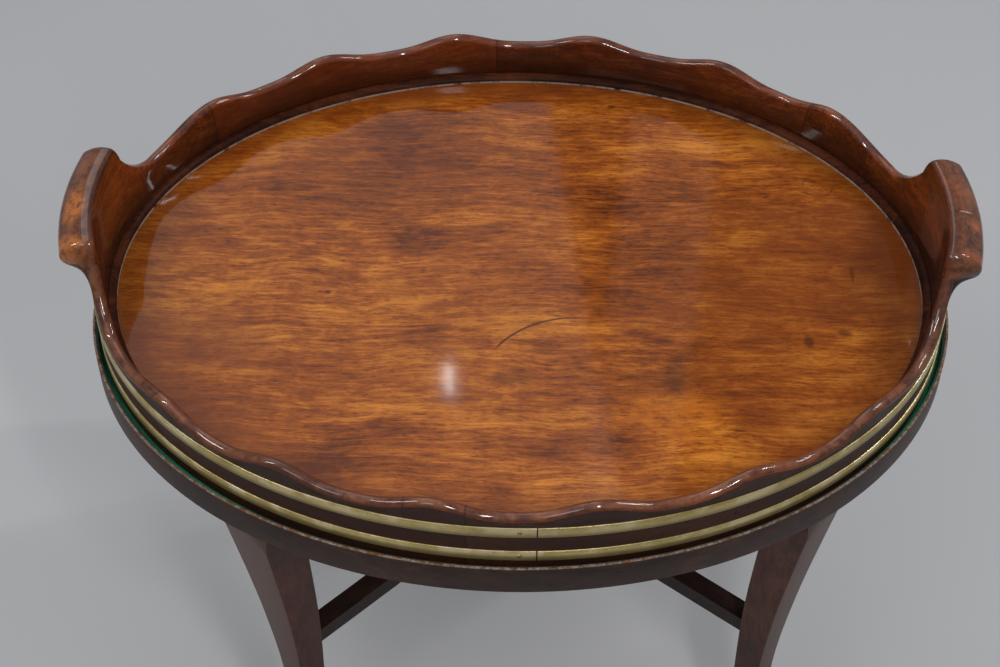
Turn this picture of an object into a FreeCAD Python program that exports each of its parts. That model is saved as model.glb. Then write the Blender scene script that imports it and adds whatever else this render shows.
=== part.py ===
import FreeCAD, Part
import math
import os

# An oval tray with a wavy gallery of coopered staves, two brass bands and rolled end
# grips, standing loose on a baize-lined oval ring with four swept legs and a cross
# stretcher. Millimetres. X is the long axis, Z is up, the ground is at zero.

doc = FreeCAD.newDocument("tray_on_stand")
sheet = doc.addObject("Spreadsheet::Sheet", "Sizes")

SIZES = (
    # tray: half axes of the oval inside the wall, and the wall itself
    ("tray_inner_long", 305.3),
    ("tray_inner_short", 232.1),
    ("wall_thickness", 8.7),
    ("wall_height", 59.5),
    ("wave_height", 9.5),
    ("wave_angle", 20.4),
    ("crest_sharpness", 1.5),
    ("rim_flare", 3.0),
    ("flare_height", 47.0),
    ("tray_turn", -1.5),
    ("tray_shift", -1.3),
    # joints between the staves, as angles round the oval
    ("right_joint_angle", 43.0),
    ("back_joint_angle", 94.0),
    ("left_joint_angle", 142.0),
    ("front_joint_angle", 264.0),
    # rolled grips at both ends
    ("grip_angle", 11.3),
    ("dip_angle", 24.0),
    ("grip_height", 114.0),
    ("grip_width", 26.0),
    ("grip_depth", 35.0),
    ("grip_end_angle", 2.2),
    ("grip_end_curve", 1.3),
    ("shoulder_hollow", 1.8),
    # floor board, its tongue in the wall's groove, and the bead that covers the joint
    ("floor_height", 19.0),
    ("floor_thickness", 9.0),
    ("floor_clearance", 0.2),
    ("tongue_thickness", 5.0),
    ("tongue_reach", 3.3),
    ("bead_size", 6.0),
    ("bead_joint_angle", 16.0),
    ("bead_rebate_depth", 0.5),
    ("bead_rebate_room", 0.2),
    # brass bands and their pins
    ("band_width", 10.1),
    ("band_thickness", 0.8),
    ("lower_band_height", 10.5),
    ("upper_band_height", 36.2),
    ("band_seam_angle", 272.7),
    ("band_seam_gap", 0.3),
    ("band_seam_cut", 35.0),
    ("pin_angle", 270.6),
    ("pin_head_radius", 1.7),
    ("pin_head_height", 0.7),
    ("pin_shank_radius", 0.7),
    ("pin_shank_length", 4.5),
    ("pin_hole_room", 0.05),
    # stand: ring of four rails with a ledge and a thin lip
    ("leg_height", 436.0),
    ("rail_depth", 27.0),
    ("rail_width", 42.0),
    ("ledge_thickness", 16.5),
    ("lip_thickness", 2.2),
    ("key_length", 32.0),
    ("key_width", 20.0),
    ("key_thickness", 4.0),
    # baize lining, and the room that the loose tray has in it
    ("baize_thickness", 1.2),
    ("baize_upstand", 0.9),
    ("glue_line", 0.12),
    ("baize_setdown", 1.0),
    ("tray_play", 3.08),
    ("seat_gap", 0.3),
    # swept legs
    ("leg_angle", 40.3),
    ("leg_turn", 2.2),
    ("leg_setback", 6.9),
    ("leg_width", 58.0),
    ("leg_depth", 34.5),
    ("leg_sweep", 29.5),
    ("leg_trim", 1.0),
    ("leg_tenon_width", 30.0),
    ("leg_tenon_depth", 14.0),
    ("leg_tenon_height", 11.0),
    ("mortise_clearance", 0.5),
    # cross stretcher
    ("stretcher_top", 250.0),
    ("stretcher_width", 16.0),
    ("stretcher_depth", 15.5),
    ("stretcher_tenon_width", 8.0),
    ("stretcher_tenon_depth", 9.0),
    ("stretcher_notch_run", 48.0),
)

# One leg from its top to its foot: how far down, how far the outer face has swept in,
# and its width and depth against those at the top.
LEG_DOWN_SHARES = (0.0, 0.17, 0.35, 0.55, 0.75, 0.9, 1.0)
LEG_SWEEP_SHARES = (0.0, 0.38, 0.73, 0.97, 0.95, 0.8, 0.63)
LEG_WIDTH_SHARES = (1.0, 0.82, 0.64, 0.45, 0.39, 0.38, 0.4)
LEG_DEPTH_SHARES = (1.0, 0.885, 0.76, 0.63, 0.59, 0.59, 0.62)

# Waves on a long side between its middle and the last crest, and the sections in a wave.
WAVES_TO_LAST_CREST = 2.5
SECTIONS_IN_WAVE = 6
# The least part of a step between two sections.
LEAST_STEP_SHARE = 0.4

# The grip's section: places across its width and down its depth.
GRIP_COVE_SHARES = (0.58, 0.78)
GRIP_NOSE_FOOT_SHARES = (0.82, 0.64)
GRIP_NOSE_SHARES = (1.0, 0.38)
GRIP_NOSE_TOP_SHARES = (0.8, 0.14)
GRIP_CROWN_SHARES = (0.55, 0.035)

# Where a round's diagonal meets it, as a share of its radius.
ROUND_CORNER_SHARE = 1.0 - math.sqrt(0.5)

# How far up the wall's outside, from flare to edge, its section has places that the
# grip's cove grows from.
COVE_SHARES = (0.5, 0.7, 1.0)
# Steps of a grip's end, from its full section to the wall.
GRIP_END_SHARES = (0.0, 0.2, 0.45, 0.75, 1.0)

# Offsets outside the tray's inner wall, as formulas on the sheet.
BAND_FACE = "Sizes.wall_thickness + Sizes.band_thickness"
PLAY_FACE = BAND_FACE + " + Sizes.tray_play"
CLOTH_BACK = PLAY_FACE + " + Sizes.baize_upstand"
LIP_FACE = CLOTH_BACK + " + Sizes.glue_line"
RING_FACE = LIP_FACE + " + Sizes.lip_thickness"
LEDGE_EDGE = RING_FACE + " - Sizes.rail_width"

UP = FreeCAD.Vector(0, 0, 1)
ARC_FACETS = 4
QUARTER_FACETS = 2
BEAD_FACETS = 3
PIN_SIDES = 10
BAND_LOWS = ("lower_band_height", "upper_band_height")
QUARTERS = ("back_right", "back_left", "front_left", "front_right")


def fill_sheet():
    for row, (alias, value) in enumerate(SIZES, 1):
        sheet.set("A%d" % row, alias.replace("_", " "))
        sheet.set("B%d" % row, "%g" % value)
        sheet.setAlias("B%d" % row, alias)
    doc.recompute()


def size(alias):
    return float(sheet.get(alias))


def bind(piece, **formulas):
    """Ties properties to the sheet. A formula names the sheet's cells by their aliases."""
    for name, formula in formulas.items():
        piece.setExpression(name.replace("_", "."), formula)
    return piece


# Shapes that follow the oval

def oval_point(angle, offset, height):
    """A point on the oval that lies offset outside the tray's inner wall."""
    turn = math.radians(angle)
    across = size("tray_inner_long") + offset
    along = size("tray_inner_short") + offset
    return FreeCAD.Vector(across * math.cos(turn), along * math.sin(turn), height)


def bow(first, middle, last, facets=ARC_FACETS):
    """Places along the arc through three, after the first."""
    arc = Part.Arc(*[FreeCAD.Vector(across, 0.0, height) for across, height in (first, middle, last)])
    return [(point.x, point.z) for point in arc.toShape().discretize(facets + 1)[1:]]


def section_angles(start, stop):
    """Angles from start to stop, in step with the crests and hollows of the long side near them."""
    step = size("wave_angle") / SECTIONS_IN_WAVE
    side = 90.0 + 180.0 * round(((start + stop) / 2.0 - 90.0) / 180.0)
    first = math.ceil((start - side) / step + LEAST_STEP_SHARE)
    last = math.floor((stop - side) / step - LEAST_STEP_SHARE)
    return [start] + [side + step * number for number in range(first, last + 1)] + [stop]


def facet(*points):
    return Part.Face(Part.makePolygon(list(points) + [points[0]]))


def run_round(outline_at, angles):
    """A solid of flat facets whose section follows outline_at(angle) round the oval."""
    sections = [[oval_point(angle, *place) for place in outline_at(angle)] for angle in angles]
    facets = [facet(*sections[0]), facet(*sections[-1])]
    for near, far in zip(sections, sections[1:]):
        for index in range(len(near)):
            facets.append(facet(near[index - 1], near[index], far[index]))
            facets.append(facet(near[index - 1], far[index], far[index - 1]))
    solid = Part.Solid(Part.Shell(facets))
    if solid.Volume < 0.0:
        solid.reverse()
    return solid.removeSplitter()


def smooth(share):
    share = min(1.0, max(0.0, share))
    return share * share * (3.0 - 2.0 * share)


# Gallery

def angle_from_end(angle):
    """Degrees from the nearer end of the long axis."""
    turned = angle % 180.0
    return min(turned, 180.0 - turned)


def last_crest_angle():
    return 90.0 - WAVES_TO_LAST_CREST * size("wave_angle")


def wall_top(angle):
    """Height of the edge: waves on the long sides, a dip, and a shoulder up to each grip."""
    from_end = angle_from_end(angle)
    low = size("wall_height")
    grip, dip = size("grip_angle"), size("dip_angle")
    last_crest = last_crest_angle()
    if from_end < dip:
        rise = min(1.0, (dip - from_end) / (dip - grip)) ** size("shoulder_hollow")
        return low + (size("grip_height") - low) * rise
    if from_end < last_crest:
        phase = 180.0 * (from_end - dip) / (last_crest - dip)
    else:
        phase = 360.0 * (90.0 - from_end) / size("wave_angle")
    crest = ((1.0 - math.cos(math.radians(phase))) / 2.0) ** size("crest_sharpness")
    return low + size("wave_height") * crest


def flare_at(angle):
    """How far the edge leans out. The shoulders take it back to upright at the grips."""
    grip = size("grip_angle")
    return size("rim_flare") * smooth((angle_from_end(angle) - grip) / (last_crest_angle() - grip))


def wall_inside():
    """The inner face from the flare down, with the groove for the floor's tongue."""
    low = size("floor_height")
    high = low + size("tongue_thickness")
    depth = size("tongue_reach") + size("floor_clearance")
    return [(0.0, size("flare_height")), (0.0, high), (depth, high), (depth, low), (0.0, low)]


def wall_outline(angle):
    """The whole wall: foot, outer face, leaning top, round edge, inner face."""
    wall = size("wall_thickness")
    radius = wall / 2.0
    flare = flare_at(angle)
    edge_foot = wall_top(angle) - radius
    outline = [(0.0, 0.0), (wall, 0.0), (wall, size("flare_height")), (wall + flare, edge_foot)]
    outline += bow(outline[-1], (radius + flare, edge_foot + radius), (flare, edge_foot))
    return outline + wall_inside()


def grip_place(shares):
    return size("grip_width") * shares[0], size("grip_height") - size("grip_depth") * shares[1]


def grip_outline():
    """The rolled grip on the wall's edge: cove, nose, crown and inner round."""
    wall, top = size("wall_thickness"), size("grip_height")
    radius = wall / 2.0
    corner = radius * ROUND_CORNER_SHARE
    foot = (wall, top - size("grip_depth"))
    nose_foot, nose_top = grip_place(GRIP_NOSE_FOOT_SHARES), grip_place(GRIP_NOSE_TOP_SHARES)
    outline = [(0.0, 0.0), (wall, 0.0), (wall, size("flare_height")), foot]
    outline += bow(foot, grip_place(GRIP_COVE_SHARES), nose_foot, QUARTER_FACETS)
    outline += bow(nose_foot, grip_place(GRIP_NOSE_SHARES), nose_top, ARC_FACETS)
    outline += bow(nose_top, grip_place(GRIP_CROWN_SHARES), (radius, top), QUARTER_FACETS)
    outline += bow((radius, top), (corner, top - corner), (0.0, top - radius), QUARTER_FACETS)
    return outline + wall_inside()


def shoulder_outline(angle):
    """The wall's section with as many places as the grip's."""
    wall, flare, top = size("wall_thickness"), flare_at(angle), wall_top(angle)
    radius = wall / 2.0
    corner = radius * ROUND_CORNER_SHARE
    low = size("flare_height")
    rise = top - radius - low
    outline = [(0.0, 0.0), (wall, 0.0), (wall, low)]
    outline += [(wall + flare * share, low + rise * share) for share in COVE_SHARES]
    crown = (radius + flare, top)
    outer = bow(outline[-1], (wall - corner + flare, top - corner), crown, ARC_FACETS + QUARTER_FACETS)
    inner = bow(crown, (corner + flare, top - corner), (flare, low + rise), QUARTER_FACETS)
    return outline + outer + inner + wall_inside()


def handle_outline(angle):
    """The grip's section on the grip, the wall's on the shoulders, a blend at the grip's ends."""
    past = (angle_from_end(angle) - size("grip_angle")) / size("grip_end_angle")
    share = 1.0 - min(1.0, max(0.0, past)) ** size("grip_end_curve")
    outline = []
    for wall, grip in zip(shoulder_outline(angle), grip_outline()):
        outline.append((wall[0] + (grip[0] - wall[0]) * share, wall[1] + (grip[1] - wall[1]) * share))
    return outline


def handle_angles(start, middle, stop):
    """Sections along an end stave, closer together at the ends of its grip."""
    grip, run = size("grip_angle"), size("grip_end_angle")
    ends = [grip + run * share for share in GRIP_END_SHARES]
    low = [middle - turn for turn in reversed(ends)]
    high = [middle + turn for turn in ends]
    shoulders = section_angles(start, low[0]), section_angles(high[-1], stop)
    return shoulders[0][:-1] + low + section_angles(low[-1], high[0])[1:-1] + high + shoulders[1][1:]


def seat_on_stand(piece):
    """The tray sits on the baize, a little turned and off centre in its ring."""
    height = size("leg_height") + size("ledge_thickness") + size("baize_thickness") + size("seat_gap")
    turn = FreeCAD.Rotation(UP, size("tray_turn"))
    piece.Placement = FreeCAD.Placement(FreeCAD.Vector(size("tray_shift"), 0, height), turn)
    return piece


def feature(label, shape):
    piece = doc.addObject("Part::Feature", label)
    piece.Label = label
    piece.Shape = shape
    return piece


def make_stave(label, start, stop):
    return feature(label, run_round(wall_outline, section_angles(start, stop)))


def make_handle_stave(label, start, middle, stop):
    return feature(label, run_round(handle_outline, handle_angles(start, middle, stop)))


def make_gallery():
    right, left = size("right_joint_angle"), size("left_joint_angle")
    back, front = size("back_joint_angle"), size("front_joint_angle")
    return [
        make_handle_stave("handle_stave_right", -right, 0.0, right),
        make_stave("stave_back_right", right, back),
        make_stave("stave_back_left", back, left),
        make_handle_stave("handle_stave_left", left, 180.0, 360.0 - left),
        make_stave("stave_front_left", 360.0 - left, front),
        make_stave("stave_front_right", front, 360.0 - right),
    ]


# Solids bounded by true ovals

def oval_disc(label, offset, low, height):
    """An oval block. The formulas give its edge outside the tray's inner wall, and its heights."""
    edge = doc.addObject("Part::Ellipse", label + "_edge")
    bind(edge, MajorRadius="Sizes.tray_inner_long + " + offset)
    bind(edge, MinorRadius="Sizes.tray_inner_short + " + offset)
    disc = doc.addObject("Part::Extrusion", label)
    disc.Base = edge
    disc.DirMode = "Custom"
    disc.Dir = UP
    disc.Solid = True
    bind(disc, LengthFwd=height, Placement_Base_z=low)
    return disc


def cut(label, base, tool):
    piece = doc.addObject("Part::Cut", label)
    piece.Label = label
    piece.Base = base
    piece.Tool = tool
    return piece


def fuse(label, members):
    piece = doc.addObject("Part::MultiFuse", label)
    piece.Label = label
    piece.Shapes = members
    piece.Refine = True
    return piece


def common(label, members):
    piece = doc.addObject("Part::MultiCommon", label)
    piece.Label = label
    piece.Shapes = members
    return piece


def oval_ring(label, outer, inner, low, height):
    outside = oval_disc(label + "_outside", outer, low, height)
    inside = oval_disc(label + "_inside", inner, low, height)
    return cut(label, outside, inside)


def block(label, length, width, height, angle=0.0, radius=0.0, low=None):
    """A block centred across a line that leaves the middle at this angle, radius out along it."""
    box = doc.addObject("Part::Box", label)
    bind(box, Length=length, Width=width, Height=height)
    doc.recompute()
    shift = FreeCAD.Vector(radius - box.Length.Value / 2.0, -box.Width.Value / 2.0, 0.0)
    turn = FreeCAD.Rotation(UP, angle)
    box.Placement = FreeCAD.Placement(turn.multVec(shift), turn)
    bind(box, Placement_Base_z=low)
    return box


# Floor, bead and bands

def make_floor():
    """The board, with a tongue round its underside and a shallow rebate that the bead sits in."""
    board = oval_disc("floor_board", "(0 - Sizes.floor_clearance)", "Sizes.floor_height",
                      "Sizes.floor_thickness - Sizes.bead_rebate_depth")
    rebate = "(0 - Sizes.floor_clearance - Sizes.bead_size - Sizes.bead_rebate_room)"
    field = oval_disc("floor_field", rebate, "Sizes.floor_height", "Sizes.floor_thickness")
    tongue = oval_disc("floor_tongue", "Sizes.tongue_reach", "Sizes.floor_height",
                       "Sizes.tongue_thickness")
    return fuse("tray_floor", [board, field, tongue])


def bead_outline(angle):
    """A quarter round, flat in the floor's rebate and upright against the wall."""
    low = size("floor_height") + size("floor_thickness") - size("bead_rebate_depth")
    radius = size("bead_size")
    back = -size("floor_clearance")
    reach = radius * math.sqrt(0.5)
    outline = [(back, low), (back - radius, low)]
    return outline + bow(outline[-1], (back - reach, low + reach), (back, low + radius), BEAD_FACETS)


def make_beads():
    joint = size("bead_joint_angle")
    back = run_round(bead_outline, section_angles(-joint, 180.0 + joint))
    front = run_round(bead_outline, section_angles(180.0 + joint, 360.0 - joint))
    return [feature("floor_bead_back", back), feature("floor_bead_front", front)]


def pin_outward():
    """The way a pin's head faces: square to the outside of the bands."""
    turn = math.radians(size("pin_angle"))
    across = math.cos(turn) / size("tray_inner_long")
    return FreeCAD.Vector(across, math.sin(turn) / size("tray_inner_short"), 0.0).normalize()


def pin_place(band_low):
    """The middle of a pin's head, on the band's face."""
    height = size(band_low) + size("band_width") / 2.0
    return oval_point(size("pin_angle"), size("wall_thickness") + size("band_thickness"), height)


def pin_round(radius, start, along):
    """A small round bar, drawn with few sides."""
    turn = FreeCAD.Rotation(UP, along)
    corners = []
    for number in range(PIN_SIDES):
        angle = 2.0 * math.pi * number / PIN_SIDES
        corner = FreeCAD.Vector(radius * math.cos(angle), radius * math.sin(angle), 0.0)
        corners.append(start + turn.multVec(corner))
    return facet(*corners).extrude(along)


def make_pin(band_low):
    """A pin with a round head, driven square through a band into the wall."""
    face, out = pin_place(band_low), pin_outward()
    shank = pin_round(size("pin_shank_radius"), face, out * -size("pin_shank_length"))
    head = pin_round(size("pin_head_radius"), face, out * size("pin_head_height"))
    return shank.fuse(head).Solids[0]


def make_pin_hole(band_low):
    """The hole in a band, a little wider than its pin's shank."""
    radius, start = size("pin_shank_radius") + size("pin_hole_room"), pin_place(band_low)
    outward = pin_outward() * size("pin_head_height")
    hole = pin_round(radius, start + outward, pin_outward() * -size("wall_thickness"))
    return feature(band_low + "_pin_hole", hole)


def make_pins():
    pins = [make_pin(band_low) for band_low in BAND_LOWS]
    return feature("band_pins", Part.makeCompound(pins))


def make_band(label, band_low):
    """A strip bent round the wall, with an open seam at the front and a hole for its pin."""
    low = "Sizes." + band_low
    inner = "Sizes.wall_thickness"
    ring = oval_ring(label + "_ring", BAND_FACE, inner, low, "Sizes.band_width")
    seam = block(label + "_seam", "Sizes.band_seam_cut", "Sizes.band_seam_gap", "Sizes.band_width",
                 size("band_seam_angle"), size("tray_inner_short") + size("wall_thickness"), low)
    return cut(label, cut(label + "_open", ring, seam), make_pin_hole(band_low))


# Stand

def ring_offset():
    """How far the ring's face stands outside the tray's inner wall."""
    return (size("wall_thickness") + size("band_thickness") + size("tray_play")
            + size("baize_upstand") + size("glue_line") + size("lip_thickness"))


def quarter_room(label, turn):
    """The room of one quarter of the ring, a square block whose corner stands on the middle."""
    room = doc.addObject("Part::Box", label)
    reach = "Sizes.tray_inner_long + " + RING_FACE
    bind(room, Length=reach, Width=reach, Height="Sizes.leg_height + Sizes.rail_depth")
    room.Placement = FreeCAD.Placement(FreeCAD.Vector(), FreeCAD.Rotation(UP, turn))
    return room


def make_rails(mortises):
    """Four quarters of an oval ring: the ledge that carries the tray, and the thin lip round it."""
    ledge = oval_ring("ledge", RING_FACE, LEDGE_EDGE, "Sizes.leg_height", "Sizes.ledge_thickness")
    lip = oval_ring("lip", RING_FACE, LIP_FACE, "Sizes.leg_height", "Sizes.rail_depth")
    ring = cut("ring", fuse("ring_blank", [ledge, lip]), fuse("mortises", mortises))
    return [common("rail_" + name, [ring, quarter_room("room_" + name, 90.0 * number)])
            for number, name in enumerate(QUARTERS)]


def make_keys():
    """Loose tongues that join the four rails end to end, inside the ledge."""
    low = "Sizes.leg_height + (Sizes.ledge_thickness - Sizes.key_thickness) / 2"
    middle = ring_offset() - size("rail_width") / 2.0
    keys = []
    for number in range(4):
        reach = size("tray_inner_short") if number % 2 else size("tray_inner_long")
        keys.append(block("key_%d" % number, "Sizes.key_width", "Sizes.key_length",
                          "Sizes.key_thickness", 90.0 * number, reach + middle, low))
    return keys


def leg_angles():
    lean = size("leg_angle")
    return [angle + size("leg_turn") for angle in (lean, 180.0 - lean, 180.0 + lean, 360.0 - lean)]


def leg_radius(angle):
    """How far out the top of a leg reaches: a little inside the ring's face at its angle."""
    long, short = size("tray_inner_long") + ring_offset(), size("tray_inner_short") + ring_offset()
    turn = math.radians(angle)
    reach = long * short / math.hypot(short * math.cos(turn), long * math.sin(turn))
    return reach - size("leg_setback")


def leg_rows():
    return list(zip(LEG_DOWN_SHARES, LEG_SWEEP_SHARES, LEG_WIDTH_SHARES, LEG_DEPTH_SHARES))


def leg_middle_at(height, angle):
    """How far out the middle of a leg's section lies at this height."""
    down_share = 1.0 - height / size("leg_height")
    rows = leg_rows()
    for upper, lower in zip(rows, rows[1:]):
        if lower[0] >= down_share:
            share = (down_share - upper[0]) / (lower[0] - upper[0])
            sweep = size("leg_sweep") * (upper[1] + (lower[1] - upper[1]) * share)
            depth = size("leg_depth") * (upper[3] + (lower[3] - upper[3]) * share)
            return leg_radius(angle) - sweep - depth / 2.0


def smooth_edge(places):
    curve = Part.BSplineCurve()
    curve.interpolate(places)
    return curve.toShape()


def sawn(one_edge, other_edge, through):
    """A board sawn to two curved edges, all through its thickness."""
    foot = Part.makeLine(one_edge[-1], other_edge[-1])
    head = Part.makeLine(other_edge[0], one_edge[0])
    outline = Part.Wire([smooth_edge(one_edge), foot, smooth_edge(other_edge), head])
    return Part.Face(outline).extrude(through)


def leg_shape(angle):
    """A leg sawn to its swept side profile, and then across to its tapering front."""
    width, reach = size("leg_width"), leg_radius(angle)
    outer_edge, inner_edge, left_edge, right_edge = [], [], [], []
    for down_share, sweep_share, width_share, depth_share in leg_rows():
        height = size("leg_height") * (1.0 - down_share)
        outer = reach - size("leg_sweep") * sweep_share
        side = width * width_share / 2.0
        outer_edge.append(FreeCAD.Vector(outer, -width / 2.0, height))
        inner_edge.append(FreeCAD.Vector(outer - size("leg_depth") * depth_share, -width / 2.0, height))
        left_edge.append(FreeCAD.Vector(0.0, side, height))
        right_edge.append(FreeCAD.Vector(0.0, -side, height))
    profile = sawn(outer_edge, inner_edge, FreeCAD.Vector(0.0, width, 0.0))
    front = sawn(left_edge, right_edge, FreeCAD.Vector(reach, 0.0, 0.0))
    return profile.common(front).Solids[0]


def make_leg_blanks():
    outline = oval_disc("leg_limit", RING_FACE + " - Sizes.leg_trim", "0", "Sizes.leg_height")
    blanks = []
    for name, angle in zip(QUARTERS, leg_angles()):
        blank = feature("leg_blank_" + name, leg_shape(angle))
        blank.Placement = FreeCAD.Placement(FreeCAD.Vector(), FreeCAD.Rotation(UP, angle))
        blanks.append(common("leg_trimmed_" + name, [blank, outline]))
    return blanks


def leg_tenon(label, angle, room):
    """A tenon on a leg's head, or with some room the mortise for it."""
    middle = leg_radius(angle) - size("leg_depth") / 2.0
    return block(label, "Sizes.leg_tenon_depth", "Sizes.leg_tenon_width",
                 "Sizes.leg_tenon_height" + room, angle, middle, "Sizes.leg_height")


def stretcher_reach(angle):
    return leg_middle_at(size("stretcher_top") - size("stretcher_depth") / 2.0, angle)


def bar(label, angle, width, depth, low):
    """A bar across the stand, from the middle of one leg to that of the leg opposite."""
    box = block(label, width, width, depth, 0.0, 0.0, low)
    box.setExpression("Length", None)
    box.Length = 2.0 * stretcher_reach(angle)
    turn = FreeCAD.Rotation(UP, angle)
    shift = FreeCAD.Vector(-stretcher_reach(angle), -box.Width.Value / 2.0, 0.0)
    box.Placement = FreeCAD.Placement(turn.multVec(shift), turn)
    bind(box, Placement_Base_z=low)
    return box


def make_stretchers(blanks):
    """Two bars halved across each other, with stub tenons in the legs."""
    low = "Sizes.stretcher_top - Sizes.stretcher_depth"
    middle = "Sizes.stretcher_top - Sizes.stretcher_depth / 2"
    tenon_low = "Sizes.stretcher_top - (Sizes.stretcher_depth + Sizes.stretcher_tenon_depth) / 2"
    angles = leg_angles()
    bars, tenons = [], []
    for number, (name, notch_low) in enumerate((("upper", low), ("lower", middle))):
        whole = bar("bar_" + name, angles[number], "Sizes.stretcher_width",
                    "Sizes.stretcher_depth", low)
        tenon = bar("bar_tenon_" + name, angles[number], "Sizes.stretcher_tenon_width",
                    "Sizes.stretcher_tenon_depth", tenon_low)
        notch = block("notch_" + name, "Sizes.stretcher_notch_run", "Sizes.stretcher_width",
                      "Sizes.stretcher_depth / 2", angles[1 - number], 0.0, notch_low)
        ends = fuse("bar_ends_" + name, [blanks[number], blanks[number + 2]])
        shouldered = cut("bar_shouldered_" + name, whole, ends)
        tenoned = fuse("bar_tenoned_" + name, [shouldered, tenon])
        bars.append(cut("stretcher_" + name, tenoned, notch))
        tenons.append(tenon)
    return bars, tenons


def make_legs(blanks, tenons):
    legs = []
    for number, (name, angle) in enumerate(zip(QUARTERS, leg_angles())):
        tenon = leg_tenon("leg_tenon_" + name, angle, "")
        tenoned = fuse("leg_tenoned_" + name, [blanks[number], tenon])
        legs.append(cut("leg_" + name, tenoned, tenons[number % 2]))
    return legs


def make_baize():
    """Cloth glued on the ledge and up the inside of the lip."""
    flat = oval_ring("baize_flat", CLOTH_BACK, LEDGE_EDGE, "Sizes.leg_height + Sizes.ledge_thickness",
                     "Sizes.baize_thickness")
    upright = oval_ring("baize_upright", CLOTH_BACK, PLAY_FACE,
                        "Sizes.leg_height + Sizes.ledge_thickness",
                        "Sizes.rail_depth - Sizes.ledge_thickness - Sizes.baize_setdown")
    return fuse("baize_lining", [flat, upright])


def make_tray():
    pins = make_pins()
    staves = make_gallery()
    staves[-1].Shape = staves[-1].Shape.cut(pins.Shape)
    bands = [make_band("lower_band", BAND_LOWS[0]), make_band("upper_band", BAND_LOWS[1])]
    return staves + [make_floor(), pins] + make_beads() + bands


def make_stand():
    blanks = make_leg_blanks()
    keys = make_keys()
    mortises = [leg_tenon("leg_mortise_" + name, angle, " + Sizes.mortise_clearance")
                for name, angle in zip(QUARTERS, leg_angles())]
    rails = make_rails(mortises + keys)
    stretchers, tenons = make_stretchers(blanks)
    return rails + [fuse("rail_keys", keys)] + make_legs(blanks, tenons) + stretchers + [make_baize()]


def check(piece):
    shape = piece.Shape
    if "Invalid" in piece.State or "Error" in piece.State or shape.isNull() or not shape.isValid():
        raise RuntimeError("%s did not build" % piece.Label)


def main():
    fill_sheet()
    tray = make_tray()
    stand = make_stand()
    doc.recompute()
    for piece in tray:
        seat_on_stand(piece)
    doc.recompute()
    for piece in doc.Objects:
        if hasattr(piece, "Shape"):
            check(piece)
    os.makedirs("parts", exist_ok=True)
    for piece in tray + stand:
        shape = piece.Shape
        counts = (piece.Label, len(shape.Solids), len(shape.Faces), shape.Volume)
        print("%-22s solids %d faces %d volume %.0f" % counts)
        shape.exportStep("parts/%s.step" % piece.Label)


main()
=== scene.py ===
import bpy
import math
from mathutils import Matrix, Vector


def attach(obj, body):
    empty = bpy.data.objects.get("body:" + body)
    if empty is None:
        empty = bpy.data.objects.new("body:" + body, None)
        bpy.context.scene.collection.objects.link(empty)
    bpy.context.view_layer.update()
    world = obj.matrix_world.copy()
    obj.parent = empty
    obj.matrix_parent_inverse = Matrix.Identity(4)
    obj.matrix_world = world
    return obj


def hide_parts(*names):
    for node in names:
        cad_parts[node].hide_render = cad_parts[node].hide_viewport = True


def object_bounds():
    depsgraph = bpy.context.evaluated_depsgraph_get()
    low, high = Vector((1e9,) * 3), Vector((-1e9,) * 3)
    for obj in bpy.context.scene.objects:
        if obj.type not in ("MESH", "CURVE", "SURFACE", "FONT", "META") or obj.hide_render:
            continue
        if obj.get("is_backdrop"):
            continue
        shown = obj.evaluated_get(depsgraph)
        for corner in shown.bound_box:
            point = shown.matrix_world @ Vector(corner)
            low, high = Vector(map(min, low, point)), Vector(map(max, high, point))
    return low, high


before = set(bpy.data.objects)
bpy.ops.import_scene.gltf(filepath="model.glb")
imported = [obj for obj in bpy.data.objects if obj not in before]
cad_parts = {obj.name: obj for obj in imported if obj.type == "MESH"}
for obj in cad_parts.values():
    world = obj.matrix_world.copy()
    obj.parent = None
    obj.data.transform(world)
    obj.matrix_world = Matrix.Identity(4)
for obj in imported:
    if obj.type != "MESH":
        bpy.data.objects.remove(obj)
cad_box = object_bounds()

# Camera
# The photograph looks down into the tray from the front, with a long lens, so that
# both grips and the whole floor show.

sight = Vector((0.006689, 0.667862, -0.744255))
sight_right = Vector((0.999969, -0.007500, 0.002257))
sight_up = Vector((0.004074, 0.744247, 0.667892))
camera_place = (-0.02582, -1.02729, 1.56937)
camera_data = bpy.data.cameras.new("view_from_front")
camera_data.lens = 72
camera_data.sensor_width = 36
camera = bpy.data.objects.new("view_from_front", camera_data)
bpy.context.scene.collection.objects.link(camera)
turned = Matrix((sight_right, sight_up, -sight)).transposed().to_4x4()
camera.matrix_world = Matrix.Translation(camera_place) @ turned
bpy.context.scene.camera = camera
bpy.context.scene.view_settings.view_transform = "Standard"


# Studio
# A plain grey paper floor, a wide soft lamp overhead, soft lamps at both sides and
# beside the camera, and others behind that leave a sheen on the polish.

bpy.ops.object.select_all(action="DESELECT")
bpy.ops.mesh.primitive_plane_add(size=14)
ground = bpy.context.object
ground.name = "studio_floor"
ground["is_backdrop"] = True
paper = bpy.data.materials.new("grey_paper")
paper.use_nodes = True
paper_sockets = paper.node_tree.nodes["Principled BSDF"].inputs
paper_sockets["Base Color"].default_value = (0.46, 0.46, 0.468, 1)
paper_sockets["Roughness"].default_value = 0.95
ground.data.materials.append(paper)

world = bpy.data.worlds.new("studio")
bpy.context.scene.world = world
world.use_nodes = True
room_light = world.node_tree.nodes["Background"].inputs
room_light["Color"].default_value = (0.60, 0.62, 0.66, 1)
room_light["Strength"].default_value = 0.5

tray_middle = Vector((0, 0, 0.48))


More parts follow.
